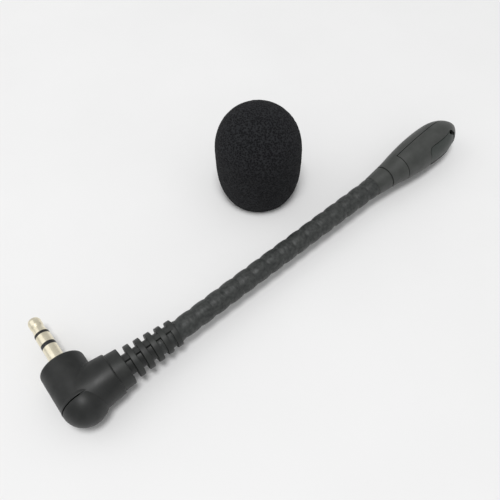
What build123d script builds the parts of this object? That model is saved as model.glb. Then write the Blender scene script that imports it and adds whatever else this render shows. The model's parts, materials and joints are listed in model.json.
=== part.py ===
from build123d import *
import math
import os

# Plug-in flexible boom microphone with its foam windscreen standing beside it.
# Millimetres.  The origin is on the plug's axis, at the shoulder where the plug leaves the elbow.
# +X runs along the boom from the elbow to the head, +Y runs out along the plug, and +Z is up.

# The plug: a 3.5 mm three-contact phone plug.
PLUG_R = 1.75
PLUG_LENGTH = 14.0
TIP_BASE_R = 1.68
TIP_SHOULDER_R = 1.55
TIP_NECK_R = 1.42
TIP_BULB_R = 1.56
TIP_NOSE_R = 1.05
TIP_SHOULDER_LENGTH = 0.7
TIP_NECK_START = 1.3
TIP_NECK_END = 1.8
TIP_BULB_START = 2.5
TIP_ROUNDING = 0.8
TIP_BAND = 9.15
RING_BAND = 5.85
TIP_BAND_WIDTH = 0.7
RING_BAND_WIDTH = 0.95
PLUG_ROD_R = 0.55
RING_TUBE_R = 1.15
PLUG_FILM = 0.15
PLUG_ROOT_R = 2.9
PLUG_NECK_R = 1.95
PLUG_ROOT_BACK = -4.2
DISC_BACK = -4.6
DISC_R = 2.1
RING_LUG_FRONT = -4.65
TIP_LUG_FRONT = -5.55
LUG_THICKNESS = 0.35
LUG_BACK = -7.4
TIP_LUG_R = 1.2

# The elbow: a ball at the corner with one limb to the plug and one to the boom.
BOOM_Y = -8.9
CORNER_Y = -10.75
BALL_R = 5.25
PLUG_LIMB_R = 5.17
BOOM_LIMB_ROOT_R = 5.95
LIMB_ROOT_HEIGHT = 5.22
BOOM_LIMB_END_R = 5.02
BOOM_LIMB_END = 8.4
RIM_FILLET = 1.0
SHELL_WALL = 0.95
CAP_EDGE_X = 4.6
CAP_GAP = 0.05
CAP_LIP = 0.5

# The strain relief: a collar, a tapering core and five rings.
COLLAR_R = 4.65
COLLAR_END_R = 4.4
COLLAR_END = 11.2
RING_COUNT = 5
FIRST_RING = 13.39
RING_PITCH = 2.6
RING_WIDTH = 1.35
FIRST_RING_R = 3.95
LAST_RING_R = 3.26
RELIEF_CORE_R = 3.05
RELIEF_CORE_END_R = 2.8
RELIEF_END = 24.6
RELIEF_TONGUE_START = 5.4
RELIEF_TONGUE_R = 3.4
TONGUE_LENGTH = 1.6
TONGUE_RIM = 0.4
RING_ROUNDING = 0.3
BRIDGE_HEIGHT = 3.1
BRIDGE_WIDTH = 1.1
BRIDGE_THICKNESS = 0.7

# The boom: a ribbed soft sleeve around a bendable core wire and a thin cable.
BOOM_YAW = 2.84
BEND_X = 26.0
SLEEVE_CREST_R = 2.59
SLEEVE_NOTCH_R = 2.35
SLEEVE_BORE_R = 1.68
ROOT_BORE_R = 1.62
ROOT_LAP = 0.25
SLEEVE_START = 7.0
SLEEVE_END = 90.3
FIRST_NOTCH = 25.77
NOTCH_PITCH = 4.25
HINGE_NOTCHES = (1, 3, 5, 7, 9, 11, 13)
HINGE_LIP = 0.66
HINGE_BALL_R = 2.26
HINGE_CUP_R = 2.37
HINGE_EDGE_ANGLE = math.radians(74)
HINGE_MIDDLE_ANGLE = math.radians(58)
CORE_WIRE_R = 0.6
CORE_WIRE_Z = 0.92
CABLE_R = 0.8
CABLE_Z = -0.72
CORE_GAP = 0.12
CORE_BEND_R = 8.0
CABLE_START = 4.3
ANCHOR_START = 4.8
ANCHOR_END = 6.8
ANCHOR_R = 2.2
CABLE_END = 95.6
WIRE_R = 0.22
WIRE_BEND_R = 0.6
WIRE_GAP = 0.12

# The head: a ferrule, a rear shell with a round neck, and a cover shell over the capsule.
HEAD_YAW = 0.7
FERRULE_START = 88.5
FERRULE_START_R = 2.66
NECK_START = 93.1
NECK_START_R = 3.18
COVER_START = 98.2
HEAD_END = 121.1
HEAD_WALL = 0.85
SPLIT_START_Y = 1.15
SPLIT_ANGLE = 2.6
JOINT_LINE = 0.2
NECK_JOINT = 0.25
NECK_JOINT_DEPTH = 0.3
NECK_BORE_R = 2.3
CAPSULE_R = 3.0
CAPSULE_LENGTH = 2.7
CAPSULE_FRONT = 112.0
BOOT_R = 3.7
BOOT_FRONT = 112.7
BOOT_BACK = 106.6
PORT_START = 106.6
PORT_LENGTH = 10.5
PORT_WIDTH = 5.2
PORT_TURN = 74.5
PORT_TILT = 7.0
PORT_CORNER_R = 1.6
PORT_SINK = 0.15
PORT_HEIGHT = 3.9
PORT_DEPTH = 4.0
PORT_GAP = 0.28
SLOT_X = 116.6
SLOT_TURN = 48.0
SLOT_SLANT = -33.0
SLOT_LENGTH = 2.5
SLOT_WIDTH = 0.85
SLOT_REACH = 3.0

# The windscreen: a foam egg that stands on its open end.
SCREEN_X = 68.0
SCREEN_Y = 16.45
SCREEN_R = 11.15
SCREEN_FOOT_R = 9.3
SCREEN_HEIGHT = 27.2
SCREEN_WAIST = 14.5
SCREEN_TOP_POWER = 2.2
SCREEN_BORE_R = 4.5
SCREEN_BORE_DEPTH = 19.0

TABLE_Z = -BALL_R


def turned(outline, axis):
    """A solid of revolution from an outline of (along, radius) points."""
    if axis == Axis.X:
        points = [(along, 0, radius) for along, radius in outline]
    elif axis == Axis.Y:
        points = [(0, along, radius) for along, radius in outline]
    else:
        points = [(radius, 0, along) for along, radius in outline]
    return revolve(make_face(Polyline(*points, close=True)), axis, 360)


def rod_x(start, end, radius, y=0.0, z=0.0):
    """A round bar along X."""
    return Pos((start + end) / 2, y, z) * Rot(0, 90, 0) * Cylinder(radius, end - start)


def rod_y(start, end, radius, x=0.0, z=0.0):
    """A round bar along Y."""
    return Pos(x, (start + end) / 2, z) * Rot(90, 0, 0) * Cylinder(radius, end - start)


def block(low, high):
    """A box from its low corner to its high corner."""
    size = [h - l for l, h in zip(low, high)]
    centre = [(h + l) / 2 for l, h in zip(low, high)]
    return Pos(*centre) * Box(*size)


def rounded_path(points, bend_radius):
    """Straight runs through the points, joined by an arc of the bend radius at each corner."""
    corners = [Vector(*point) for point in points]
    edges = []
    run_start = corners[0]
    for before, corner, after in zip(corners, corners[1:], corners[2:]):
        back = (before - corner).normalized()
        ahead = (after - corner).normalized()
        inward = (back + ahead).normalized()
        half_angle = math.radians(back.get_angle(ahead) / 2)
        reach = bend_radius / math.tan(half_angle)
        arc_start = corner + back * reach
        arc_end = corner + ahead * reach
        arc_middle = corner + inward * (bend_radius / math.sin(half_angle) - bend_radius)
        edges += [Line(run_start, arc_start), ThreePointArc(arc_start, arc_middle, arc_end)]
        run_start = arc_end
    edges.append(Line(run_start, corners[-1]))
    return Wire(edges)


def bent_wire(points, radius, bend_radius):
    """A round wire of straight runs joined by arcs at the points between its ends."""
    path = rounded_path(points, bend_radius)
    section = Plane(origin=path @ 0, z_dir=path % 0) * Circle(radius)
    return sweep(section, path=path)


# ---- plug ----

def plug_tip():
    """The grooved tip contact and the rod that carries it back to its lug."""
    band_front = TIP_BAND + TIP_BAND_WIDTH / 2
    nose = turned([
        (band_front, 0), (band_front, TIP_BASE_R), (band_front + TIP_SHOULDER_LENGTH, TIP_SHOULDER_R),
        (band_front + TIP_NECK_START, TIP_NECK_R), (band_front + TIP_NECK_END, TIP_NECK_R),
        (band_front + TIP_BULB_START, TIP_BULB_R), (PLUG_LENGTH - TIP_ROUNDING, TIP_BULB_R),
        (PLUG_LENGTH - TIP_ROUNDING / 4, (TIP_NOSE_R + TIP_BULB_R) / 2), (PLUG_LENGTH, TIP_NOSE_R),
        (PLUG_LENGTH, 0),
    ], Axis.Y)
    return nose + rod_y(TIP_LUG_FRONT - LUG_THICKNESS, band_front + 0.1, PLUG_ROD_R)


def banded_tube(back, band_back, band_front, inner, outer):
    """A tube inside the plug that swells to the plug's full radius at its visible band."""
    return turned([
        (back, inner), (back, outer), (band_back, outer), (band_back, PLUG_R),
        (band_front, PLUG_R), (band_front, inner),
    ], Axis.Y)


def plug_tip_insulator():
    """The insulating sleeve between the tip's rod and the ring's tube, with its visible band."""
    half = TIP_BAND_WIDTH / 2
    outer = PLUG_ROD_R + PLUG_FILM
    return banded_tube(TIP_LUG_FRONT + 0.2, TIP_BAND - half, TIP_BAND + half, PLUG_ROD_R, outer)


def plug_ring():
    """The ring contact and the tube that carries it back to its lug."""
    back = RING_LUG_FRONT - LUG_THICKNESS
    band_back = RING_BAND + RING_BAND_WIDTH / 2
    band_front = TIP_BAND - TIP_BAND_WIDTH / 2
    return banded_tube(back, band_back, band_front, PLUG_ROD_R + PLUG_FILM, RING_TUBE_R)


def plug_ring_insulator():
    """The insulating sleeve around the ring's tube, with its visible band."""
    half = RING_BAND_WIDTH / 2
    outer = RING_TUBE_R + PLUG_FILM
    return banded_tube(DISC_BACK, RING_BAND - half, RING_BAND + half, RING_TUBE_R, outer)


def plug_sleeve():
    """The sleeve contact and the wider root that is moulded into the elbow."""
    front = RING_BAND - RING_BAND_WIDTH / 2
    inner = RING_TUBE_R + PLUG_FILM
    return turned([
        (PLUG_ROOT_BACK, inner), (PLUG_ROOT_BACK, PLUG_ROOT_R),
        (-SHELL_WALL, PLUG_ROOT_R), (-SHELL_WALL, PLUG_NECK_R),
        (0, PLUG_NECK_R), (0, PLUG_R), (front, PLUG_R), (front, inner),
    ], Axis.Y)


def plug_terminal_disc():
    """The insulating disc behind the root that keeps the ring's lug off the sleeve contact."""
    disc = rod_y(DISC_BACK, PLUG_ROOT_BACK, DISC_R)
    return disc - rod_y(DISC_BACK - 1, PLUG_ROOT_BACK + 1, RING_TUBE_R + PLUG_FILM)


def tip_lug():
    """A flat lug riveted to the back end of the tip's rod."""
    back = TIP_LUG_FRONT - LUG_THICKNESS
    strip = block((-0.6, LUG_BACK, -1.25), (0.6, TIP_LUG_FRONT, -0.9))
    washer = rod_y(back, TIP_LUG_FRONT, TIP_LUG_R) + strip
    return washer - rod_y(back - 1, back + 1, PLUG_ROD_R)


def ring_lug():
    """A flat lug soldered to the ring's tube, standing to one side."""
    back = RING_LUG_FRONT - LUG_THICKNESS
    washer = rod_y(back, RING_LUG_FRONT, DISC_R) + block((1.2, back, -0.6), (1.85, RING_LUG_FRONT, 0.6))
    washer -= rod_y(back - 1, RING_LUG_FRONT + 1, RING_TUBE_R)
    return washer + block((1.5, LUG_BACK, -0.6), (1.85, RING_LUG_FRONT, 0.6))


def ground_lug():
    """The lug that is soldered to the back of the plug's sleeve contact."""
    foot = block((-2.85, PLUG_ROOT_BACK - LUG_THICKNESS, -0.8), (-2.2, PLUG_ROOT_BACK, 0.8))
    return foot + block((-2.85, LUG_BACK, -0.8), (-2.5, PLUG_ROOT_BACK, 0.8))


def solder_bead(z):
    """A low cone of solder on the capsule's board."""
    base = CAPSULE_FRONT - CAPSULE_LENGTH
    return Pos(0, BOOM_Y, z) * turned([(base, 0), (base, 0.5), (base - 0.35, 0.25), (base - 0.35, 0)], Axis.X)


# ---- elbow ----

def corner_mass(ball_radius, limb_radius, end, rim_radius):
    """The ball at the corner and the limb that reaches from it along +Y, as one turned solid."""
    meet = CORNER_Y + math.sqrt(ball_radius ** 2 - limb_radius ** 2)
    pole = (0, CORNER_Y - ball_radius, 0)
    side = (0, CORNER_Y, ball_radius)
    diagonal = ball_radius * math.sqrt(0.5)
    ball_back = ThreePointArc(pole, (0, CORNER_Y - diagonal, diagonal), side)
    middle_angle = math.atan2(meet - CORNER_Y, limb_radius) / 2
    middle = (0, CORNER_Y + ball_radius * math.sin(middle_angle), ball_radius * math.cos(middle_angle))
    ball_front = ThreePointArc(side, middle, (0, meet, limb_radius))
    rim_start = (0, end - rim_radius, limb_radius)
    limb = Line((0, meet, limb_radius), rim_start)
    edges = [ball_back, ball_front, limb]
    rim_end = rim_start
    if rim_radius:
        rim_end = (0, end, limb_radius - rim_radius)
        diagonal = rim_radius * math.sqrt(0.5)
        rim_middle = (0, end - rim_radius + diagonal, limb_radius - rim_radius + diagonal)
        edges.append(ThreePointArc(rim_start, rim_middle, rim_end))
    edges += [Line(rim_end, (0, end, 0)), Line((0, end, 0), pole)]
    return revolve(make_face(Wire(edges)), Axis.Y, 360)


def boom_limb(grow):
    """The limb toward the boom: an oval root, as tall as the ball, that narrows to a round end."""
    root = Plane.YZ * Ellipse(BOOM_LIMB_ROOT_R + grow, LIMB_ROOT_HEIGHT + grow)
    end = Plane.YZ.offset(BOOM_LIMB_END) * Circle(BOOM_LIMB_END_R + grow)
    return Pos(0, BOOM_Y, 0) * loft([root, end], ruled=True)


def elbow_room():
    """The room for the wires inside the elbow."""
    room = corner_mass(BALL_R - SHELL_WALL, BALL_R - SHELL_WALL - 0.15, PLUG_ROOT_BACK, 0)
    return room + Pos(0, BOOM_Y, 0) * rod_x(0, RELIEF_TONGUE_START, RELIEF_TONGUE_R)


def cap_zone(gap):
    """The space that the domed end cap fills: behind the corner, around the start of the boom limb."""
    far = 2 * BALL_R
    zone = block((-far, CORNER_Y - far, -far), (CAP_EDGE_X - gap, CORNER_Y - gap, far))
    return zone - boom_limb(gap)


def elbow_shell():
    """The moulded elbow: ball, plug limb and boom limb, open where the end cap sits."""
    ball = corner_mass(BALL_R, PLUG_LIMB_R, 0, RIM_FILLET)
    mass = ball - cap_zone(0) + boom_limb(0)
    mass -= elbow_room()
    mass -= rod_y(PLUG_ROOT_BACK - 1, -SHELL_WALL, PLUG_ROOT_R)
    mass -= rod_y(-2 * SHELL_WALL, 1, PLUG_NECK_R)
    neck = rod_x(1, BOOM_LIMB_END + 1, RELIEF_CORE_R)
    groove = rod_x(RELIEF_TONGUE_START, RELIEF_TONGUE_START + TONGUE_LENGTH, RELIEF_TONGUE_R + TONGUE_RIM)
    return mass - Pos(0, BOOM_Y, 0) * (neck + groove)


def elbow_cap():
    """The domed end cap that closes the corner, with a short lip inside the shell."""
    ball = corner_mass(BALL_R, PLUG_LIMB_R, 0, RIM_FILLET)
    room = corner_mass(BALL_R - SHELL_WALL, BALL_R - SHELL_WALL - 0.15, PLUG_ROOT_BACK, 0)
    dome = (ball - room) & cap_zone(CAP_GAP)
    lip_r = BALL_R - SHELL_WALL - 0.08
    lip = rod_y(CORNER_Y - 1.4, CORNER_Y + CAP_LIP, lip_r) - rod_y(CORNER_Y - 2, CORNER_Y + 2, lip_r - 0.6)
    lip &= block((-2 * BALL_R, CORNER_Y - 2, -2 * BALL_R), (-0.3, CORNER_Y + 2, 2 * BALL_R))
    return dome + lip


def strain_relief():
    """The soft strain relief: a locking tongue in the elbow, a collar, a core and five rings."""
    tongue_end = RELIEF_TONGUE_START + TONGUE_LENGTH
    outline = [
        (RELIEF_TONGUE_START, SLEEVE_NOTCH_R), (RELIEF_TONGUE_START, RELIEF_TONGUE_R + TONGUE_RIM),
        (tongue_end, RELIEF_TONGUE_R + TONGUE_RIM), (tongue_end, RELIEF_CORE_R),
        (BOOM_LIMB_END, RELIEF_CORE_R), (BOOM_LIMB_END, COLLAR_R),
        (COLLAR_END - 0.25, COLLAR_END_R), (COLLAR_END, COLLAR_END_R - 0.25), (COLLAR_END, RELIEF_CORE_R),
        (RELIEF_END, RELIEF_CORE_END_R), (RELIEF_END, SLEEVE_NOTCH_R),
    ]
    relief = Pos(0, BOOM_Y, 0) * turned(outline, Axis.X)
    for index in range(RING_COUNT):
        centre = FIRST_RING + index * RING_PITCH
        radius = FIRST_RING_R + (LAST_RING_R - FIRST_RING_R) * index / (RING_COUNT - 1)
        ring = rod_x(centre - RING_WIDTH / 2, centre + RING_WIDTH / 2, radius)
        ring = fillet(ring.edges().filter_by(GeomType.CIRCLE), RING_ROUNDING)
        ring -= rod_x(centre - RING_WIDTH, centre + RING_WIDTH, SLEEVE_NOTCH_R + 0.2)
        relief += Pos(0, BOOM_Y, 0) * ring
    bridge_end = FIRST_RING + (RING_COUNT - 1) * RING_PITCH
    for side in (-1, 1):
        low = (COLLAR_END - 0.5, -BRIDGE_WIDTH / 2, side * BRIDGE_HEIGHT - BRIDGE_THICKNESS / 2)
        high = (bridge_end, BRIDGE_WIDTH / 2, side * BRIDGE_HEIGHT + BRIDGE_THICKNESS / 2)
        relief += Pos(0, BOOM_Y, 0) * block(low, high)
    return relief - Pos(0, BOOM_Y, 0) * rod_x(SLEEVE_START - 3, RELIEF_END + 1, SLEEVE_NOTCH_R)


def core_anchor():
    """The crimped barrel that holds the core wire and the cable inside the elbow."""
    barrel = rod_x(ANCHOR_START, ANCHOR_END, ANCHOR_R)
    barrel -= rod_x(ANCHOR_START - 1, ANCHOR_END + 1, CORE_WIRE_R, 0, CORE_WIRE_Z)
    barrel -= rod_x(ANCHOR_START - 1, ANCHOR_END + 1, CABLE_R, 0, CABLE_Z)
    return Pos(0, BOOM_Y, 0) * barrel


# ---- boom ----

def along_boom(shape):
    """The shape, made along X, turned a little toward +Y to lie along the boom's free part."""
    return Pos(BEND_X, BOOM_Y, 0) * Rot(0, 0, BOOM_YAW) * Pos(-BEND_X, -BOOM_Y, 0) * shape


def along_head(shape):
    """The shape, made along X, turned to lie along the head, which leans a little more than the boom."""
    turn = Pos(FERRULE_START, BOOM_Y, 0) * Rot(0, 0, HEAD_YAW) * Pos(-FERRULE_START, -BOOM_Y, 0)
    return along_boom(turn * shape)


def notch_x(index):
    """The X position of one notch between two ribs of the sleeve."""
    return FIRST_NOTCH + index * NOTCH_PITCH


def sleeve_radius(x):
    """The outer radius of the ribbed sleeve at X: one shallow arc per rib."""
    sag = SLEEVE_CREST_R - SLEEVE_NOTCH_R
    arc_r = (NOTCH_PITCH ** 2 / 4 + sag ** 2) / (2 * sag)
    from_crest = (x - FIRST_NOTCH) % NOTCH_PITCH - NOTCH_PITCH / 2
    return SLEEVE_CREST_R - arc_r + math.sqrt(arc_r ** 2 - from_crest ** 2)


def rib_arc(start, end):
    """The outline of one rib, from start to end."""
    middle = (start + end) / 2
    ends = [(x, 0, sleeve_radius(x)) for x in (start, middle, end)]
    return ThreePointArc(*ends)


def on_sphere(centre, radius, height, side):
    """The outline point of a sphere on the boom's axis, at the given height from the axis."""
    return (centre + side * math.sqrt(radius ** 2 - height ** 2), 0, height)


def hinge_start(x):
    """The outline of the rounded end that turns in the cup before it."""
    reach = HINGE_BALL_R * math.cos(HINGE_EDGE_ANGLE)
    shoulder = (x + reach, 0, HINGE_BALL_R * math.sin(HINGE_EDGE_ANGLE))
    bore = on_sphere(x, HINGE_BALL_R, SLEEVE_BORE_R, -1)
    ball = ThreePointArc(bore, (x, 0, HINGE_BALL_R), shoulder)
    step = Line(shoulder, (x + HINGE_LIP, 0, sleeve_radius(x + HINGE_LIP)))
    return [ball, step], bore


def hinge_end(x):
    """The outline of the cup that takes the next segment's rounded end."""
    lip = (x - HINGE_LIP, 0, sleeve_radius(x - HINGE_LIP))
    edge = on_sphere(x, HINGE_CUP_R, HINGE_CUP_R * math.sin(HINGE_EDGE_ANGLE), -1)
    bore = on_sphere(x, HINGE_CUP_R, SLEEVE_BORE_R, -1)
    middle_height = HINGE_CUP_R * math.sin(HINGE_MIDDLE_ANGLE)
    cup = ThreePointArc(edge, on_sphere(x, HINGE_CUP_R, middle_height, -1), bore)
    return [Line(lip, edge), cup], bore


def sleeve_segment(index):
    """One stretch of the ribbed sleeve between two bending points."""
    first = index == 0
    last = index == len(HINGE_NOTCHES)
    if first:
        bore = (BEND_X, 0, SLEEVE_BORE_R)
        end_x = notch_x(HINGE_NOTCHES[0]) - HINGE_LIP
        outline = [Line(bore, (BEND_X, 0, sleeve_radius(BEND_X))), rib_arc(BEND_X, end_x)]
    else:
        hinge_x = notch_x(HINGE_NOTCHES[index - 1])
        middle = hinge_x + NOTCH_PITCH
        outline, bore = hinge_start(hinge_x)
        outline.append(rib_arc(hinge_x + HINGE_LIP, middle))
        if last:
            plain = (SLEEVE_END, 0, sleeve_radius(middle))
            outline.append(Line((middle, 0, sleeve_radius(middle)), plain))
            outline.append(Line(plain, (SLEEVE_END, 0, SLEEVE_BORE_R)))
            outline.append(Line((SLEEVE_END, 0, SLEEVE_BORE_R), bore))
        else:
            outline.append(rib_arc(middle, middle + NOTCH_PITCH - HINGE_LIP))
    if not last:
        cup, cup_bore = hinge_end(notch_x(HINGE_NOTCHES[index]))
        outline += cup
        outline.append(Line(cup_bore, bore))
    segment = revolve(make_face(Wire(outline)), Axis.X, 360)
    segment = along_boom(Pos(0, BOOM_Y, 0) * segment)
    if first:
        segment += Pos(0, BOOM_Y, 0) * rod_x(SLEEVE_START, BEND_X + ROOT_LAP, SLEEVE_NOTCH_R)
        segment -= Pos(0, BOOM_Y, 0) * rod_x(SLEEVE_START - 1, BEND_X + 2 * ROOT_LAP, ROOT_BORE_R)
    return segment


def core_span(index):
    """Where the core wire and the cable of one segment start and end."""
    start = CABLE_START
    end = CABLE_END
    if index > 0:
        start = notch_x(HINGE_NOTCHES[index - 1]) - math.sqrt(HINGE_BALL_R ** 2 - SLEEVE_BORE_R ** 2)
    if index < len(HINGE_NOTCHES):
        end = notch_x(HINGE_NOTCHES[index]) - HINGE_CUP_R - CORE_GAP
    return start, end


def boom_strand(index, radius, z):
    """One stretch of a strand inside the sleeve.  The first one bends where the boom turns."""
    start, end = core_span(index)
    if index > 0:
        return along_boom(Pos(0, BOOM_Y, 0) * rod_x(start, end, radius, 0, z))
    reach = end - BEND_X
    yaw = math.radians(BOOM_YAW)
    tip = (BEND_X + reach * math.cos(yaw), BOOM_Y + reach * math.sin(yaw), z)
    return bent_wire([(start, BOOM_Y, z), (BEND_X, BOOM_Y, z), tip], radius, CORE_BEND_R)


def core_wire(index):
    """One stretch of the bendable wire that makes the boom hold its shape."""
    return boom_strand(index, CORE_WIRE_R, CORE_WIRE_Z)


def boom_cable(index):
    """One stretch of the thin screened cable beside the core wire."""
    return boom_strand(index, CABLE_R, CABLE_Z)


# ---- head ----

def pod_profile(inset):
    """The side outline of the head from the neck to the tip, moved inward by the inset."""
    return [
        (NECK_START, NECK_START_R - inset), (95.9, 3.55 - inset), (COVER_START, 3.95 - inset),
        (101.5, 4.42 - inset), (105.5, 4.82 - inset), (109.5, 4.97 - inset), (113.5, 4.82 - inset),
        (116.5, 4.12 - inset), (118.8, 2.95 - inset), (HEAD_END - 0.35 - inset, 1.25),
    ]


def pod_mass(inset):
    """The head's solid of revolution, from the neck to the rounded tip."""
    rim = [(x, 0, radius) for x, radius in pod_profile(inset)]
    tip = (HEAD_END - inset, 0, 0)
    outline = Spline(*rim)
    nose = Line(rim[-1], tip)
    back = Line((NECK_START, 0, 0), rim[0])
    face = make_face(Wire([outline, nose, Line(tip, (NECK_START, 0, 0)), back]))
    return Pos(0, BOOM_Y, 0) * revolve(face, Axis.X, 360)


def cover_zone(gap):
    """The space on the cover's side of the head's lengthwise joint, drawn back by the gap."""
    length = HEAD_END - COVER_START + 5
    zone = Pos(length / 2 + gap, -10 - gap, 0) * Box(length, 20, 30)
    return Pos(COVER_START, BOOM_Y + SPLIT_START_Y, 0) * Rot(0, 0, SPLIT_ANGLE) * zone


def port_zone(grow):
    """The lens-shaped space through the cover that the sound port insert fills."""
    pad = Box(PORT_LENGTH + 2 * grow, PORT_WIDTH + 2 * grow, PORT_DEPTH)
    pad = fillet(pad.edges().filter_by(Axis.Z), PORT_CORNER_R)
    pad = Pos(PORT_START + PORT_LENGTH / 2, 0, PORT_HEIGHT) * Rot(0, PORT_TILT, 0) * pad
    return Pos(0, BOOM_Y, 0) * Rot(PORT_TURN, 0, 0) * pad


def head_ferrule():
    """The turned ferrule between the boom and the head."""
    ring = turned([
        (FERRULE_START, SLEEVE_NOTCH_R + 0.06), (FERRULE_START, FERRULE_START_R - 0.1),
        (FERRULE_START + 0.15, FERRULE_START_R + 0.05), (NECK_START - 0.2, NECK_START_R),
        (NECK_START, NECK_START_R - NECK_JOINT_DEPTH), (NECK_START, NECK_BORE_R),
        (SLEEVE_END, NECK_BORE_R), (SLEEVE_END, SLEEVE_NOTCH_R + 0.06),
    ], Axis.X)
    return Pos(0, BOOM_Y, 0) * ring


def head_room():
    """The hollow inside the head."""
    room = pod_mass(HEAD_WALL)
    return room + Pos(0, BOOM_Y, 0) * rod_x(NECK_START - 1, NECK_START + 2, NECK_BORE_R)


def head_rear_shell():
    """The rear shell: a full round neck, then the part that lies toward the plug's side."""
    shell = pod_mass(0) - head_room()
    shell -= cover_zone(0)
    seam = rod_x(NECK_START - NECK_JOINT, NECK_START + NECK_JOINT, 2 * NECK_START_R)
    seam -= rod_x(NECK_START - 1, NECK_START + 1, NECK_START_R - NECK_JOINT_DEPTH)
    return shell - Pos(0, BOOM_Y, 0) * seam


def head_cover_shell():
    """The cover shell over the capsule, open where the sound port insert sits."""
    shell = (pod_mass(0) - head_room()) & cover_zone(JOINT_LINE)
    return shell - port_zone(PORT_GAP) - sound_slot()


def port_insert():
    """The lens-shaped sound port insert, sunk a little below the cover."""
    insert = (pod_mass(PORT_SINK) - pod_mass(HEAD_WALL)) & port_zone(0)
    return insert - sound_slot()


def sound_slot():
    """The space of the sound slot, across the joint between the insert and the cover near the tip."""
    slot = Box(SLOT_LENGTH, SLOT_WIDTH, 2 * SLOT_REACH)
    slot = fillet(slot.edges().filter_by(Axis.Z), 0.49 * SLOT_WIDTH)
    slot = Pos(SLOT_X, 0, 2 * SLOT_REACH) * Rot(0, 0, SLOT_SLANT) * slot
    return Pos(0, BOOM_Y, 0) * Rot(SLOT_TURN, 0, 0) * slot


def capsule_boot():
    """The soft boot that holds the capsule in the head."""
    boot = rod_x(BOOT_BACK, BOOT_FRONT, BOOT_R)
    boot -= rod_x(CAPSULE_FRONT - CAPSULE_LENGTH - 0.8, CAPSULE_FRONT, CAPSULE_R)
    boot -= rod_x(CAPSULE_FRONT - 1, BOOT_FRONT + 1, CAPSULE_R - 0.4)
    boot -= rod_x(BOOT_BACK - 1, CAPSULE_FRONT - CAPSULE_LENGTH, CAPSULE_R - 0.9)
    return Pos(0, BOOM_Y, 0) * boot


def capsule_can():
    """The capsule's can, open at the back where its circuit board sits."""
    back = CAPSULE_FRONT - CAPSULE_LENGTH
    can = rod_x(back, CAPSULE_FRONT, CAPSULE_R) - rod_x(back - 1, CAPSULE_FRONT - 0.25, CAPSULE_R - 0.2)
    can -= rod_x(CAPSULE_FRONT - 1, CAPSULE_FRONT + 1, 0.5)
    return Pos(0, BOOM_Y, 0) * can


def capsule_diaphragm():
    """The capsule's membrane and backplate stack."""
    stack = rod_x(CAPSULE_FRONT - 1.15, CAPSULE_FRONT - 0.45, CAPSULE_R - 0.25)
    return Pos(0, BOOM_Y, 0) * stack


def capsule_board():
    """The capsule's round circuit board, set in the back of the can."""
    back = CAPSULE_FRONT - CAPSULE_LENGTH
    return Pos(0, BOOM_Y, 0) * rod_x(back, back + 0.5, CAPSULE_R - 0.2)


def capsule_felt():
    """The felt disc on the capsule's face."""
    return Pos(0, BOOM_Y, 0) * rod_x(CAPSULE_FRONT, CAPSULE_FRONT + 0.4, CAPSULE_R - 0.5)


def capsule_solder():
    """Two beads of solder on the back of the capsule's board."""
    return solder_bead(1.1) + solder_bead(-1.1)


# ---- wires ----

def elbow_wire(start_y, start_z, middle, landing):
    """One insulated wire from the boom's cable to where it lies on a lug of the plug."""
    start = (CABLE_START - WIRE_GAP, BOOM_Y + start_y, start_z)
    end = (landing[0], LUG_BACK + 0.5, landing[1])
    return bent_wire([start, middle, (landing[0], LUG_BACK - 0.8, landing[1]), end], WIRE_R, WIRE_BEND_R)


def head_wire(side):
    """One insulated wire from the boom's cable to the capsule's board."""
    start_x = CABLE_END + WIRE_GAP
    end_x = CAPSULE_FRONT - CAPSULE_LENGTH - 0.7
    points = [
        (start_x, BOOM_Y, CABLE_Z + side * 0.32),
        ((start_x + end_x) / 2, BOOM_Y + side * 0.8, side * 0.9),
        (end_x, BOOM_Y, side * 1.1),
    ]
    return bent_wire(points, WIRE_R, 3.0)


# ---- windscreen ----

def windscreen():
    """The foam windscreen: an egg with a flat foot and a blind hole that slips over the head."""
    rise = SCREEN_HEIGHT - SCREEN_WAIST
    power = 2 / SCREEN_TOP_POWER
    dome = []
    for step in range(9):
        angle = math.radians(10 * step)
        dome.append((SCREEN_R * math.cos(angle) ** power, 0, SCREEN_WAIST + rise * math.sin(angle) ** power))
    foot = (SCREEN_FOOT_R, 0, 0)
    flank = [(SCREEN_FOOT_R + 0.8, 0, 0.7), (SCREEN_FOOT_R + 1.15, 0, 3.0), (SCREEN_R - 0.25, 0, 7.5)]
    top = (0, 0, SCREEN_HEIGHT)
    outline = [Line((0, 0, 0), foot), Spline(foot, *flank, *dome), Line(dome[-1], top), Line(top, (0, 0, 0))]
    egg = revolve(make_face(Wire(outline)), Axis.Z, 360)
    hole = Pos(0, 0, (SCREEN_BORE_DEPTH - 1) / 2) * Cylinder(SCREEN_BORE_R, SCREEN_BORE_DEPTH + 1)
    return Pos(SCREEN_X, SCREEN_Y, TABLE_Z) * (egg - hole)


# ---- groups of pieces ----

def plug_parts():
    """The plug's own pieces, with the wires that reach it from the boom's cable."""
    signal = elbow_wire(0.0, -0.45, (1.4, -9.8, -0.55), (0.0, -0.67))
    bias = elbow_wire(0.32, -0.95, (2.7, -8.95, -0.95), (2.08, 0.0))
    ground = elbow_wire(-0.32, -0.95, (-0.6, -10.6, -1.3), (-2.27, 0.0))
    return {
        "jack_tip_contact": plug_tip(),
        "jack_tip_insulator": plug_tip_insulator(),
        "jack_ring_contact": plug_ring(),
        "jack_ring_insulator": plug_ring_insulator(),
        "jack_sleeve_contact": plug_sleeve(),
        "jack_terminal_insulator": plug_terminal_disc(),
        "jack_tip_lug": tip_lug(),
        "jack_ring_lug": ring_lug(),
        "jack_ground_lug": ground_lug(),
        "elbow_wire_signal": signal,
        "elbow_wire_bias": bias,
        "elbow_wire_ground": ground,
    }


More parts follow.
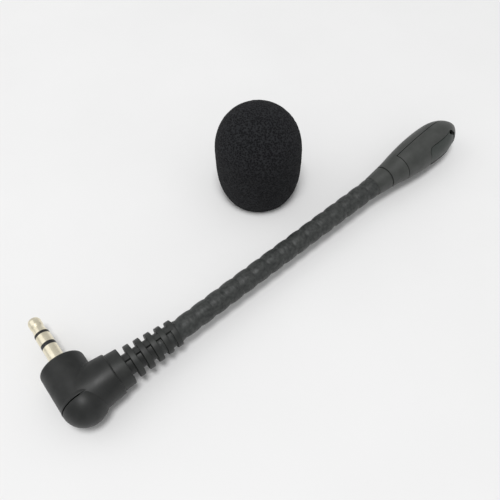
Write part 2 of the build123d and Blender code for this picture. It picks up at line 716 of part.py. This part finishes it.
def elbow_parts():
    """The elbow, its end cap, the strain relief and the anchor inside."""
    return {
        "elbow_shell": elbow_shell(),
        "elbow_cap": elbow_cap(),
        "strain_relief": strain_relief(),
        "core_anchor": core_anchor(),
    }


def boom_parts():
    """The sleeve, core wire and cable, cut at each bending point."""
    parts = {}
    for index in range(len(HINGE_NOTCHES) + 1):
        parts[f"gooseneck_sleeve_{index}"] = sleeve_segment(index)
        parts[f"core_wire_{index}"] = core_wire(index)
        parts[f"boom_cable_{index}"] = boom_cable(index)
    return parts


def head_parts():
    """The head's shells, sound port and capsule, turned to lie along the head."""
    parts = {
        "head_ferrule": head_ferrule(),
        "head_rear_shell": head_rear_shell(),
        "head_cover_shell": head_cover_shell(),
        "sound_port_insert": port_insert(),
        "capsule_boot": capsule_boot(),
        "capsule_can": capsule_can(),
        "capsule_diaphragm": capsule_diaphragm(),
        "capsule_board": capsule_board(),
        "capsule_felt": capsule_felt(),
        "capsule_solder": capsule_solder(),
        "head_wire_signal": head_wire(1),
        "head_wire_ground": head_wire(-1),
    }
    return {name: along_head(shape) for name, shape in parts.items()}


# ---- the whole object ----

os.makedirs("parts", exist_ok=True)
all_parts = {**plug_parts(), **elbow_parts(), **boom_parts(), **head_parts()}
all_parts["windscreen_foam"] = windscreen()
for name, shape in all_parts.items():
    export_step(shape, f"parts/{name}.step")
    print(name, len(shape.solids()), round(shape.volume, 3))
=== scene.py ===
import json
import math
import bmesh
import bpy
import numpy as np
from mathutils import Matrix, Vector, noise


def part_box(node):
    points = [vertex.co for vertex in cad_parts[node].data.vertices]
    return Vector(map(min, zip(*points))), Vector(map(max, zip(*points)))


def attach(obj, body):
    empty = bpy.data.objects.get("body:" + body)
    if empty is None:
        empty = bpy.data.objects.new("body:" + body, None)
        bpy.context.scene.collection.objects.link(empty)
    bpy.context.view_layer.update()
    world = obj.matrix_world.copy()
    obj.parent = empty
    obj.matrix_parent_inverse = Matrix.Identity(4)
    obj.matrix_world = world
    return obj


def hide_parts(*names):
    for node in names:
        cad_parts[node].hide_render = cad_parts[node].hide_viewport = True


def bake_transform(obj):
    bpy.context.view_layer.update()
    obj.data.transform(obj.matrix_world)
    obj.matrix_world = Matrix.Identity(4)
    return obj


# A plug-in boom microphone on a pale table, with its foam windscreen standing beside it.
# Everything is in metres.  The boom runs along +X and the plug along +Y.

MM = 0.001
X_AXIS = Vector((1, 0, 0))
Y_AXIS = Vector((0, 1, 0))
Z_AXIS = Vector((0, 0, 1))

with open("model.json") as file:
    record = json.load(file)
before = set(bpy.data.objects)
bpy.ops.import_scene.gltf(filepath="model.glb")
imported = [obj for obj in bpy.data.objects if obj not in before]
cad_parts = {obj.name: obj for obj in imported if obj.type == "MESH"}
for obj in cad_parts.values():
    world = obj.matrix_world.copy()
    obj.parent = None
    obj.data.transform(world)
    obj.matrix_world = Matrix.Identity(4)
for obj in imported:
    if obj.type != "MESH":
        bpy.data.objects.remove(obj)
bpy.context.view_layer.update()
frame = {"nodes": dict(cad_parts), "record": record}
record = frame["record"]

# ---- driving places and sizes, from the frame ----

TABLE_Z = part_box("windscreen_foam")[0][2]
CAP_LOW = Vector(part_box("elbow_cap")[0])
RELIEF_LOW = Vector(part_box("strain_relief")[0])
RELIEF_HIGH = Vector(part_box("strain_relief")[1])
SCREEN_LOW = Vector(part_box("windscreen_foam")[0])
SCREEN_HIGH = Vector(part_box("windscreen_foam")[1])
BALL_R = -TABLE_Z
CORNER_Y = CAP_LOW.y + BALL_R
BOOM_Y = (RELIEF_LOW.y + RELIEF_HIGH.y) / 2
RELIEF_OUTSIDE = 16.2 * MM
LIMB_END = RELIEF_HIGH.x - RELIEF_OUTSIDE

HINGE_JOINTS = [joint for joint in record["behaviour"]["joints"] if joint["type"] == "hinge"]
HINGES = [Vector(joint["pos_m"]) for joint in HINGE_JOINTS]
BODIES = ["plug_body"] + [joint["child"] for joint in HINGE_JOINTS]
BOOM_ALONG = (HINGES[-1] - HINGES[0]).normalized()
RIB_PITCH = (HINGES[-1] - HINGES[0]).length / (2 * (len(HINGES) - 1))

MOUNT_DIMS = {mount["name"]: mount["dims"] for mount in record["mounts"]}

# ---- camera ----

CAMERA_AT = Vector((3.62, -68.56, 125.14)) * MM
CAMERA_AIM = Vector((51.28, -1.50, -0.29)) * MM
CAMERA_ROLL = math.radians(-2.449)
CAMERA_LENS = 43.79
SENSOR_WIDTH = 36.0
NEAREST_SEEN = 1 * MM


# ---- materials ----

# Noise seldom leaves this range, so colours and roughness are spread over it.
NOISE_LOW = 0.3
NOISE_HIGH = 0.7

# How far handling marks change the roughness of a moulding.
HANDLING_MARKS = 0.07

TURNING_GRAIN = 0.12 * MM
TURNING_DEPTH = 0.004 * MM


class Shader:
    """A node material under construction, with short helpers for its texture nodes."""

    def __init__(self, name):
        self.material = bpy.data.materials.new(name)
        self.material.use_nodes = True
        self.nodes = self.material.node_tree.nodes
        self.links = self.material.node_tree.links
        self.surface = self.nodes["Principled BSDF"]
        self.place = self.nodes.new("ShaderNodeTexCoord").outputs["Object"]

    def set(self, **values):
        """Sets constant inputs of the surface, with underscores for spaces in their names."""
        for name, value in values.items():
            self.surface.inputs[name.replace("_", " ")].default_value = value

    def stretched(self, x, y, z):
        """The object's own coordinates, scaled on each axis."""
        mapping = self.nodes.new("ShaderNodeMapping")
        mapping.inputs["Scale"].default_value = (x, y, z)
        self.links.new(self.place, mapping.inputs["Vector"])
        return mapping.outputs["Vector"]

    def noise(self, grain, detail=4.0, place=None):
        """Noise with grains about this large."""
        node = self.nodes.new("ShaderNodeTexNoise")
        node.inputs["Scale"].default_value = 1 / grain
        node.inputs["Detail"].default_value = detail
        self.links.new(place or self.place, node.inputs["Vector"])
        return node.outputs["Fac"]

    def cells(self, size):
        """The distance to the middle of round cells of this size."""
        node = self.nodes.new("ShaderNodeTexVoronoi")
        node.inputs["Scale"].default_value = 1 / size
        self.links.new(self.place, node.inputs["Vector"])
        return node.outputs["Distance"]

    def color(self, value, dark, light):
        """Sets the surface's colour, from dark to light as the value rises."""
        ramp = self.nodes.new("ShaderNodeValToRGB")
        ramp.color_ramp.elements[0].position = NOISE_LOW
        ramp.color_ramp.elements[1].position = NOISE_HIGH
        ramp.color_ramp.elements[0].color = (*dark, 1)
        ramp.color_ramp.elements[1].color = (*light, 1)
        self.links.new(value, ramp.inputs["Fac"])
        self.links.new(ramp.outputs["Color"], self.surface.inputs["Base Color"])

    def roughness(self, value, low, high):
        """Sets the surface's roughness, from low to high as the value rises."""
        node = self.nodes.new("ShaderNodeMapRange")
        node.inputs["From Min"].default_value = NOISE_LOW
        node.inputs["From Max"].default_value = NOISE_HIGH
        node.inputs["To Min"].default_value = low
        node.inputs["To Max"].default_value = high
        self.links.new(value, node.inputs["Value"])
        self.links.new(node.outputs["Result"], self.surface.inputs["Roughness"])

    def bump(self, value, height):
        """Raises the surface by the value times the height."""
        node = self.nodes.new("ShaderNodeBump")
        node.inputs["Strength"].default_value = 1.0
        node.inputs["Distance"].default_value = height
        self.links.new(value, node.inputs["Height"])
        self.links.new(node.outputs["Normal"], self.surface.inputs["Normal"])


def moulded(name, dark, light, rough, grain=0.25 * MM, height=0.012 * MM):
    """A satin moulded plastic or rubber with a fine grain and faint handling marks."""
    shader = Shader(name)
    patches = shader.noise(9 * grain)
    marks = shader.noise(14 * grain, 6)
    shader.color(patches, dark, light)
    shader.roughness(marks, rough - HANDLING_MARKS, rough + HANDLING_MARKS)
    shader.bump(shader.noise(grain, 3), height)
    shader.set(Specular_IOR_Level=0.40)
    return shader.material


def plated(name, dark, light, rough, stretch):
    """A plated metal with fine turning lines, which run across the axes that the stretch scales most."""
    shader = Shader(name)
    lines = shader.noise(TURNING_GRAIN, 2, shader.stretched(*stretch))
    shader.color(shader.noise(1.5 * MM), dark, light)
    shader.roughness(lines, rough - 0.05, rough + 0.08)
    shader.bump(lines, TURNING_DEPTH)
    shader.set(Metallic=1.0)
    return shader.material


def sleeve_rubber():
    """Soft black rubber, a little dusty, with faint wrinkles around the boom."""
    shader = Shader("sleeve_rubber")
    wrinkles = shader.noise(0.9 * MM, 5, shader.stretched(1.6, 0.7, 0.7))
    dust = shader.noise(0.8 * MM, 6)
    shader.color(dust, (0.017, 0.019, 0.0185), (0.046, 0.049, 0.047))
    shader.roughness(wrinkles, 0.38, 0.60)
    shader.bump(wrinkles, 0.16 * MM)
    shader.set(Specular_IOR_Level=0.35)
    return shader.material


def open_foam():
    """Very dark open-cell foam with small pores; the colour is painted darker toward the middle of each pore,
    as painted shade in its pit.
    """
    shader = Shader("open_foam")
    pores_and_painted_shade = shader.cells(0.45 * MM)
    # Painted shade: the cell distance that sinks each pore also darkens its colour toward the middle, where
    # the pit is deepest.
    shader.color(pores_and_painted_shade, (0.004, 0.004, 0.005), (0.020, 0.021, 0.023))
    shader.roughness(shader.noise(2 * MM), 0.85, 1.0)
    shader.bump(pores_and_painted_shade, 0.25 * MM)
    shader.set(Specular_IOR_Level=0.2)
    return shader.material


def circuit_board():
    """Green board lacquer with paler traces under it."""
    shader = Shader("circuit_board")
    traces = shader.noise(0.5 * MM, 0, shader.stretched(1, 0.2, 1))
    shader.color(traces, (0.02, 0.12, 0.05), (0.05, 0.24, 0.10))
    shader.roughness(shader.noise(0.3 * MM), 0.25, 0.4)
    shader.bump(traces, 0.01 * MM)
    return shader.material


def make_materials():
    """Every finish, under the name of the record's material slot."""
    around_x = (8, 1, 1)
    around_y = (1, 12, 1)
    along_x = (1, 8, 8)
    across_z = (1, 1, 6)
    even = (1, 1, 1)
    steel = ((0.42, 0.42, 0.44), (0.55, 0.55, 0.56))
    can = ((0.70, 0.70, 0.72), (0.82, 0.82, 0.84))
    return {
        "plug_metal": plated("plug_metal", (0.83, 0.76, 0.58), (0.92, 0.86, 0.69), 0.30, around_y),
        "insulator": moulded("insulator", (0.012, 0.012, 0.012), (0.022, 0.022, 0.022), 0.4),
        "tinned_lug": plated("tinned_lug", (0.55, 0.54, 0.50), (0.72, 0.71, 0.68), 0.3, across_z),
        "solder": plated("solder", (0.50, 0.50, 0.50), (0.68, 0.68, 0.69), 0.35, even),
        "elbow_plastic": moulded("elbow_plastic", (0.007, 0.008, 0.0075), (0.014, 0.015, 0.0145), 0.48),
        "relief_rubber": moulded("relief_rubber", (0.010, 0.011, 0.0105), (0.022, 0.024, 0.022), 0.48),
        "sleeve_rubber": sleeve_rubber(),
        "core_steel": plated("core_steel", *steel, 0.35, along_x),
        "cable_jacket": moulded("cable_jacket", (0.03, 0.03, 0.03), (0.05, 0.05, 0.05), 0.5),
        "anchor_metal": plated("anchor_metal", *steel, 0.3, around_x),
        "wire_jacket": moulded("wire_jacket", (0.28, 0.03, 0.02), (0.38, 0.05, 0.03), 0.4),
        "head_plastic": moulded("head_plastic", (0.034, 0.037, 0.034), (0.050, 0.053, 0.050), 0.46),
        "port_plastic": moulded("port_plastic", (0.028, 0.034, 0.031), (0.040, 0.046, 0.042), 0.46),
        "boot_rubber": moulded("boot_rubber", (0.02, 0.02, 0.02), (0.03, 0.03, 0.03), 0.6),
        "capsule_aluminium": plated("capsule_aluminium", *can, 0.25, around_x),
        "capsule_stack": moulded("capsule_stack", (0.55, 0.48, 0.30), (0.65, 0.60, 0.44), 0.35),
        "board": circuit_board(),
        "felt": moulded("felt", (0.008, 0.008, 0.008), (0.022, 0.022, 0.022), 0.95, 0.1 * MM, 0.1 * MM),
        "foam": open_foam(),
    }


materials = make_materials()


# ---- mesh helpers ----

CORNER_SHARE = 0.45
WELD_GAP = 1e-7
ALL_ROUND = 2 * math.pi


def rounded(points, radius, steps=5):
    """The outline with every inner corner replaced by a smooth curve that starts at most a radius away."""
    corners = [np.array(point, float) for point in points]
    outline = [corners[0]]
    for before, corner, after in zip(corners, corners[1:], corners[2:]):
        toward_before = before - corner
        toward_after = after - corner
        length_before = np.linalg.norm(toward_before)
        length_after = np.linalg.norm(toward_after)
        reach = min(radius, CORNER_SHARE * length_before, CORNER_SHARE * length_after)
        start = corner + toward_before / length_before * reach
        end = corner + toward_after / length_after * reach
        for share in np.linspace(0, 1, steps):
            first = start + (corner - start) * share
            second = corner + (end - corner) * share
            outline.append(first + (second - first) * share)
    outline.append(corners[-1])
    return outline


def turned(profile, base, along, steps=96, height_share=None):
    """A closed mesh turned about a line: the profile's pairs are the distance along it and the radius.
    height_share, a function of the distance, makes the section oval by scaling its height."""
    side = along.cross(X_AXIS if along == Z_AXIS else Z_AXIS).normalized()
    up = side.cross(along)
    mesh = bmesh.new()
    rings = []
    for distance, radius in profile:
        tall = radius * height_share(distance) if height_share else radius
        ring = []
        for step in range(steps):
            angle = ALL_ROUND * step / steps
            spot = base + along * distance + up * (tall * math.cos(angle)) + side * (radius * math.sin(angle))
            ring.append(mesh.verts.new(spot))
        rings.append(ring)
    for ring, following in zip(rings, rings[1:]):
        for step in range(steps):
            after = (step + 1) % steps
            mesh.faces.new((ring[step], ring[after], following[after], following[step]))
    bmesh.ops.remove_doubles(mesh, verts=mesh.verts, dist=WELD_GAP)
    bmesh.ops.recalc_face_normals(mesh, faces=mesh.faces)
    return mesh


def joined(*meshes):
    """Several meshes as one."""
    whole = bmesh.new()
    for mesh in meshes:
        data = bpy.data.meshes.new("joined")
        mesh.to_mesh(data)
        mesh.free()
        whole.from_mesh(data)
        bpy.data.meshes.remove(data)
    return whole


def box_mesh(low, high):
    """A box between two opposite corners."""
    mesh = bmesh.new()
    size = high - low
    place = Matrix.Translation((low + high) / 2) @ Matrix.Diagonal((*size, 1))
    bmesh.ops.create_cube(mesh, size=1.0, matrix=place)
    return mesh


def as_object(mesh, name):
    """The mesh as a smooth-shaded object of the scene."""
    data = bpy.data.meshes.new(name)
    mesh.to_mesh(data)
    mesh.free()
    data.shade_smooth()
    obj = bpy.data.objects.new(name, data)
    bpy.context.scene.collection.objects.link(obj)
    return obj


def baked(obj):
    """The object with its modifiers applied."""
    graph = bpy.context.evaluated_depsgraph_get()
    data = bpy.data.meshes.new_from_object(obj.evaluated_get(graph))
    obj.modifiers.clear()
    obj.data = data
    return obj


def cut(obj, cutter_mesh, operation):
    """Applies one boolean between the object and a mesh."""
    cutter = as_object(cutter_mesh, "cutter")
    modifier = obj.modifiers.new("cut", "BOOLEAN")
    modifier.operation = operation
    modifier.object = cutter
    modifier.solver = "EXACT"
    baked(obj)
    bpy.data.objects.remove(cutter)
    return obj


def creased(obj, degrees):
    """Shades the object smooth except across edges sharper than the angle."""
    obj.data.shade_smooth()
    obj.data.set_sharp_from_angle(angle=math.radians(degrees))
    return obj


def coated(obj, slot):
    """Gives the piece the finish of a material slot."""
    obj.data.materials.clear()
    obj.data.materials.append(materials[slot])
    return obj


def finish(obj, slot, body):
    """Gives the piece its finish and the body it moves with."""
    coated(obj, slot)
    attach(obj, body)


# ---- elbow ----

PLUG_LIMB_R = 5.17 * MM
PLUG_LIMB_ROUNDING = 1.0 * MM
LIMB_ROOT_R = 5.95 * MM
LIMB_END_R = 5.02 * MM
LIMB_ROUNDING = 0.4 * MM
CAP_SEAM = 0.12 * MM
ELBOW_VOXEL = 0.085 * MM
SHELL_EASING = 4
CAP_EASING = 2
ELBOW_STEPS = 128
ELBOW_CREASE = 50


def limb_height(distance):
    """How tall the boom limb is for its width, which narrows toward the strain relief."""
    width = LIMB_ROOT_R + (LIMB_END_R - LIMB_ROOT_R) * distance / LIMB_END
    height = BALL_R + (LIMB_END_R - BALL_R) * distance / LIMB_END
    return height / width


def ball_mesh(radius):
    """The ball at the elbow's corner."""
    angles = np.linspace(0, math.pi, ELBOW_STEPS // 2 + 1)
    profile = [(-radius * math.cos(angle), radius * math.sin(angle)) for angle in angles]
    return turned(profile, Vector((0, CORNER_Y, 0)), Y_AXIS, ELBOW_STEPS)


def plug_limb():
    """The round limb toward the plug, moved forward to clear the end cap's joint."""
    outline = [(0, 0), (0, PLUG_LIMB_R), (-CORNER_Y, PLUG_LIMB_R), (-CORNER_Y, 0)]
    start = Vector((0, CORNER_Y, 0))
    limb = turned(rounded(outline, PLUG_LIMB_ROUNDING), start, Y_AXIS, ELBOW_STEPS)
    bmesh.ops.translate(limb, verts=limb.verts, vec=Vector((0, CAP_SEAM, 0)))
    return limb


def boom_limb(grow):
    """The limb toward the boom: an oval root that narrows to a round end."""
    outline = [(0, 0), (0, LIMB_ROOT_R + grow), (LIMB_END, LIMB_END_R + grow), (LIMB_END, 0)]
    start = Vector((0, BOOM_Y, 0))
    return turned(rounded(outline, LIMB_ROUNDING), start, X_AXIS, ELBOW_STEPS, limb_height)


def behind_corner(gap):
    """The space behind the plane of the end cap's joint, from this far behind it."""
    far = 3 * BALL_R
    return box_mesh(Vector((-far, CORNER_Y - far, -far)), Vector((far, CORNER_Y - gap, far)))


def melted(obj, passes):
    """Welds the object's overlapping shells into one skin and eases its edges."""
    weld = obj.modifiers.new("weld", "REMESH")
    weld.mode = "VOXEL"
    weld.voxel_size = ELBOW_VOXEL
    ease = obj.modifiers.new("ease", "SMOOTH")
    ease.iterations = passes
    return baked(obj)


def elbow_shell():
    """The two limbs and the front of the ball in one moulding."""
    ball = cut(as_object(ball_mesh(BALL_R), "ball"), behind_corner(-CAP_SEAM), "DIFFERENCE")
    front = bmesh.new()
    front.from_mesh(ball.data)
    bpy.data.objects.remove(ball)
    return melted(as_object(joined(front, plug_limb(), boom_limb(0)), "elbow_shell_skin"), SHELL_EASING)


def elbow_cap():
    """The domed end cap, which stops at the plane of its joint and at the boom limb."""
    cap = as_object(ball_mesh(BALL_R - 0.5 * CAP_SEAM), "elbow_cap_skin")
    cut(cap, behind_corner(CAP_SEAM), "INTERSECT")
    return cut(melted(cap, CAP_EASING), boom_limb(0.5 * CAP_SEAM), "DIFFERENCE")


def add_elbow():
    """The elbow's shell and its domed end cap."""
    for piece, node in ((elbow_shell(), "elbow_shell"), (elbow_cap(), "elbow_cap")):
        creased(piece, ELBOW_CREASE)
        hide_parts(node)
        finish(piece, "elbow_plastic", "plug_body")


# ---- strain relief ----

RING_COUNT = 5
RING_PITCH = 2.6 * MM
FIRST_RING = 13.39 * MM
LAST_RING = FIRST_RING + RING_PITCH * (RING_COUNT - 1)
RING_WIDTH = 1.35 * MM
FIRST_RING_R = 3.95 * MM
LAST_RING_R = 3.26 * MM
COLLAR_R = 4.65 * MM
COLLAR_END = 11.3 * MM
COLLAR_END_R = 4.40 * MM
COLLAR_OVERLAP = 1.0 * MM
CORE_R = 2.5 * MM
CUFF_R = 2.85 * MM
RELIEF_END = RELIEF_HIGH.x
RELIEF_ROUNDING = 0.16 * MM
RELIEF_CREASE = 40
BRIDGE_HEIGHT = 2.85 * MM
BRIDGE_HALF = 0.5 * MM
BRIDGE_ROOT = 0.4 * MM


def relief_profile():
    """The strain relief's outline: a collar, a core, five rings and a thin end."""
    start = LIMB_END - COLLAR_OVERLAP
    outline = [(start, 0), (start, COLLAR_R), (COLLAR_END, COLLAR_END_R), (COLLAR_END, CORE_R)]
    for index in range(RING_COUNT):
        middle = FIRST_RING + RING_PITCH * index
        radius = FIRST_RING_R + (LAST_RING_R - FIRST_RING_R) * index / (RING_COUNT - 1)
        back = middle - RING_WIDTH / 2
        front = middle + RING_WIDTH / 2
        outline += [(back, CORE_R), (back, radius), (front, radius), (front, CORE_R)]
    outline[-1] = (LAST_RING + RING_WIDTH / 2, CUFF_R)
    return outline + [(RELIEF_END, CUFF_R), (RELIEF_END, 0)]


def bridge(side):
    """The small bar that ties the rings together on the upper or the lower side."""
    middle = Vector((0, BOOM_Y, side * BRIDGE_HEIGHT))
    low = middle + Vector((COLLAR_END - BRIDGE_ROOT, -BRIDGE_HALF, -BRIDGE_HALF))
    high = middle + Vector((LAST_RING, BRIDGE_HALF, BRIDGE_HALF))
    return box_mesh(low, high)


def add_strain_relief():
    """The ribbed strain relief, with its bridges."""
    outline = rounded(relief_profile(), RELIEF_ROUNDING)
    relief = as_object(turned(outline, Vector((0, BOOM_Y, 0)), X_AXIS), "relief_skin")
    for side in (-1, 1):
        cut(relief, bridge(side), "UNION")
    creased(relief, RELIEF_CREASE)
    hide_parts("strain_relief")
    finish(relief, "relief_rubber", "plug_body")


# ---- boom sleeve ----

SLEEVE_CREST_R = 2.60 * MM
SLEEVE_NOTCH_R = 2.35 * MM
SLEEVE_END_R = 1.7 * MM
RIB_POWER = 2.6
RIB_POINTS = 15
HALF_RIB_POINTS = 12
ROOT_LENGTH = 7.5 * MM
SLEEVE_STEPS = 72
SLEEVE_CREASE = 50


def rib_radius(share):
    """The sleeve's radius at a share of the way from one notch to the next."""
    arch = 1 - abs(2 * share - 1) ** RIB_POWER
    return SLEEVE_NOTCH_R + (SLEEVE_CREST_R - SLEEVE_NOTCH_R) * arch


def ribs_outline(count):
    """The outline of this many ribs, from notch to notch."""
    shares = np.linspace(0, 1, RIB_POINTS)
    return [((rib + share) * RIB_PITCH, rib_radius(share)) for rib in range(count) for share in shares]


def bend_outline():
    """Two ribs, one on either side of a hinge, closed at both ends."""
    length = 2 * RIB_PITCH
    return [(0, 0), (0, SLEEVE_END_R)] + ribs_outline(2) + [(length, SLEEVE_END_R), (length, 0)]


def root_outline():
    """A plain tube inside the strain relief that ends in half a rib."""
    shares = np.linspace(0.5, 1, HALF_RIB_POINTS)
    half_rib = [(-RIB_PITCH * (1 - share), rib_radius(share)) for share in shares]
    return [(-ROOT_LENGTH, 0), (-ROOT_LENGTH, SLEEVE_NOTCH_R)] + half_rib + [(0, 0)]


def last_outline():
    """The one rib next to the head."""
    return [(0, 0)] + ribs_outline(1) + [(RIB_PITCH, 0)]


def sleeve_piece(name, outline, start):
    """A stretch of the sleeve, turned about the boom."""
    return creased(as_object(turned(outline, start, BOOM_ALONG, SLEEVE_STEPS), name), SLEEVE_CREASE)


def add_sleeve():
    """The ribbed sleeve: a two-rib stretch laid across every hinge and attached to no body, and a stiff
    stretch at either end that moves with the body there.
    """
    rib = BOOM_ALONG * RIB_PITCH
    for index, hinge in enumerate(HINGES):
        piece = sleeve_piece(f"sleeve_bend_{index}", bend_outline(), hinge - rib)
        coated(piece, "sleeve_rubber")
        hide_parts(f"gooseneck_sleeve_{index}")
        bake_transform(piece)
    root = sleeve_piece("sleeve_root", root_outline(), HINGES[0] - rib)
    finish(root, "sleeve_rubber", BODIES[0])
    last = sleeve_piece("sleeve_last", last_outline(), HINGES[-1] + rib)
    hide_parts(f"gooseneck_sleeve_{len(HINGES)}")
    finish(last, "sleeve_rubber", BODIES[-1])


# ---- windscreen ----

SCREEN_AT = Vector(((SCREEN_LOW.x + SCREEN_HIGH.x) / 2, (SCREEN_LOW.y + SCREEN_HIGH.y) / 2, SCREEN_LOW.z))
SCREEN_R = (SCREEN_HIGH.x - SCREEN_LOW.x) / 2
SCREEN_HEIGHT = SCREEN_HIGH.z - SCREEN_LOW.z
SCREEN_BORE_R = MOUNT_DIMS["windscreen_bore"]["r_mm"] * MM
SCREEN_BORE_DEPTH = MOUNT_DIMS["windscreen_bore"]["length_mm"] * MM
SCREEN_FOOT_R = 9.2 * MM
SCREEN_WAIST = 14.5 * MM
SCREEN_TOP_POWER = 2.2
SCREEN_FOOT_POWER = 4.0
SCREEN_STEPS = 320
BORE_POINTS = 40
FOOT_POINTS = 80
FOOT_CROWDING = 1.5
DOME_POINTS = 90
CELL = 0.55 * MM
CELL_DEPTH = 0.16 * MM
CELL_REACH = 0.9
LUMP = 3 * MM
LUMP_HEIGHT = 0.06 * MM


def bore_outline():
    """The hole's wall, from its flat roof down to the foot."""
    heights = np.linspace(SCREEN_BORE_DEPTH, 0, BORE_POINTS)
    return [(SCREEN_BORE_DEPTH, 0)] + [(height, SCREEN_BORE_R) for height in heights]


def foot_outline():
    """The wall from the foot to the widest place, which swells quickly and then stands nearly upright.
    Its points crowd together near the foot, where it turns the most."""
    outline = [(0, SCREEN_FOOT_R)]
    for share in np.linspace(0.01, 1, FOOT_POINTS):
        height = share ** FOOT_CROWDING * SCREEN_WAIST
        swell = 1 - (1 - height / SCREEN_WAIST) ** SCREEN_FOOT_POWER
        outline.append((height, SCREEN_FOOT_R + (SCREEN_R - SCREEN_FOOT_R) * swell))
    return outline


def dome_outline():
    """The dome from the widest place to the top, a little squarer than a half ellipse."""
    dome = SCREEN_HEIGHT - SCREEN_WAIST
    power = 2 / SCREEN_TOP_POWER
    outline = []
    for angle in np.linspace(0, math.pi / 2, DOME_POINTS)[1:-1]:
        rise = math.sin(angle) ** power
        outline.append((SCREEN_WAIST + dome * rise, SCREEN_R * math.cos(angle) ** power))
    return outline + [(SCREEN_HEIGHT, 0)]


def pit_surface(mesh):
    """Pits the foam's surface with small open cells, and makes it a little lumpy."""
    mesh.normal_update()
    for vert in mesh.verts:
        pit = min(noise.voronoi(vert.co / CELL, distance_metric="DISTANCE")[0][0], CELL_REACH)
        lump = noise.noise(vert.co / LUMP)
        vert.co += vert.normal * (CELL_DEPTH * (pit - CELL_REACH) + LUMP_HEIGHT * lump)
        vert.co.z = max(vert.co.z, TABLE_Z)


def add_windscreen():
    """The foam windscreen, with its hole for the head."""
    mesh = turned(bore_outline() + foot_outline() + dome_outline(), SCREEN_AT, Z_AXIS, SCREEN_STEPS)
    pit_surface(mesh)
    screen = as_object(mesh, "windscreen_skin")
    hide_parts("windscreen_foam")
    finish(screen, "foam", "windscreen")


# ---- CAD nodes that stay ----

SEEN_PREFIXES = ("head_", "sound_port", "jack_tip_contact", "jack_ring_contact", "jack_sleeve_contact")
INNER_PREFIX = "head_wire"
EDGE_ROUNDING = 0.07 * MM
EDGE_ANGLE = 40


def soften_edges(node):
    """Rounds the node's sharp edges a little."""
    bevel = node.modifiers.new("soft_edges", "BEVEL")
    bevel.width = EDGE_ROUNDING
    bevel.segments = 3
    bevel.limit_method = "ANGLE"
    bevel.angle_limit = math.radians(EDGE_ANGLE)
    bevel.harden_normals = True


def finish_cad_nodes():
    """Gives every CAD node its finish, and softens the edges of the ones that are seen."""
    slots = {part["node"]: part["material_slot"] for part in record["subparts"]}
    for name, node in frame["nodes"].items():
        coated(node, slots[name])
        if name.startswith(SEEN_PREFIXES) and not name.startswith(INNER_PREFIX):
            soften_edges(node)


# ---- stage ----

FLOOR_SIZE = 3.0
LIT_SPOT = Vector((60, -5, 0)) * MM
KEY_LAMP = Vector((-0.12, -0.11, 0.98))
KEY_SIZE = 0.32
KEY_POWER = 5.0
BACK_LAMP = Vector((-0.275, 0.30, 0.30))
BACK_SIZE = 0.45
BACK_POWER = 0.28
ROOM_STRENGTH = 0.56


def table_finish():
    """A pale matt table top with the faintest unevenness."""
    shader = Shader("table_top")
    shader.color(shader.noise(40 * MM), (0.80, 0.80, 0.80), (0.82, 0.82, 0.82))
    shader.roughness(shader.noise(10 * MM), 0.55, 0.65)
    shader.set(Specular_IOR_Level=0.2)
    return shader.material


def add_stage():
    """A pale table."""
    bpy.ops.mesh.primitive_plane_add(size=FLOOR_SIZE, location=(0, 0, TABLE_Z))
    floor = bpy.context.object
    floor.name = "floor"
    floor.data.materials.append(table_finish())


def area_light(name, offset, size, power):
    """A soft round white lamp, this far from the middle of the object and turned toward it."""
    light = bpy.data.lights.new(name, "AREA")
    light.shape = "DISK"
    light.size = size
    light.energy = power
    lamp = bpy.data.objects.new(name, light)
    lamp.location = LIT_SPOT + offset
    lamp.rotation_euler = (-offset).to_track_quat("-Z", "Y").to_euler()
    bpy.context.scene.collection.objects.link(lamp)


def add_lights():
    """A lamp overhead and a little to the camera's side, a broad weak one behind, and an even room."""
    area_light("key", KEY_LAMP, KEY_SIZE, KEY_POWER)
    area_light("back", BACK_LAMP, BACK_SIZE, BACK_POWER)
    world = bpy.data.worlds.new("room")
    world.use_nodes = True
    background = world.node_tree.nodes["Background"]
    background.inputs["Color"].default_value = (1.0, 1.0, 1.0, 1)
    background.inputs["Strength"].default_value = ROOM_STRENGTH
    bpy.context.scene.world = world
    bpy.context.scene.view_settings.view_transform = "Standard"


def add_camera():
    """The camera, at the place and turn that the view calls for."""
    data = bpy.data.cameras.new("camera")
    data.lens = CAMERA_LENS
    data.sensor_width = SENSOR_WIDTH
    data.clip_start = NEAREST_SEEN
    camera = bpy.data.objects.new("camera", data)
    turn = (CAMERA_AIM - CAMERA_AT).to_track_quat("-Z", "Y").to_matrix()
    turn = turn @ Matrix.Rotation(CAMERA_ROLL, 3, "Z")
    camera.matrix_world = Matrix.Translation(CAMERA_AT) @ turn.to_4x4()
    bpy.context.scene.collection.objects.link(camera)
    bpy.context.scene.camera = camera


finish_cad_nodes()
add_elbow()
add_strain_relief()
add_sleeve()
add_windscreen()
add_stage()
add_lights()
add_camera()
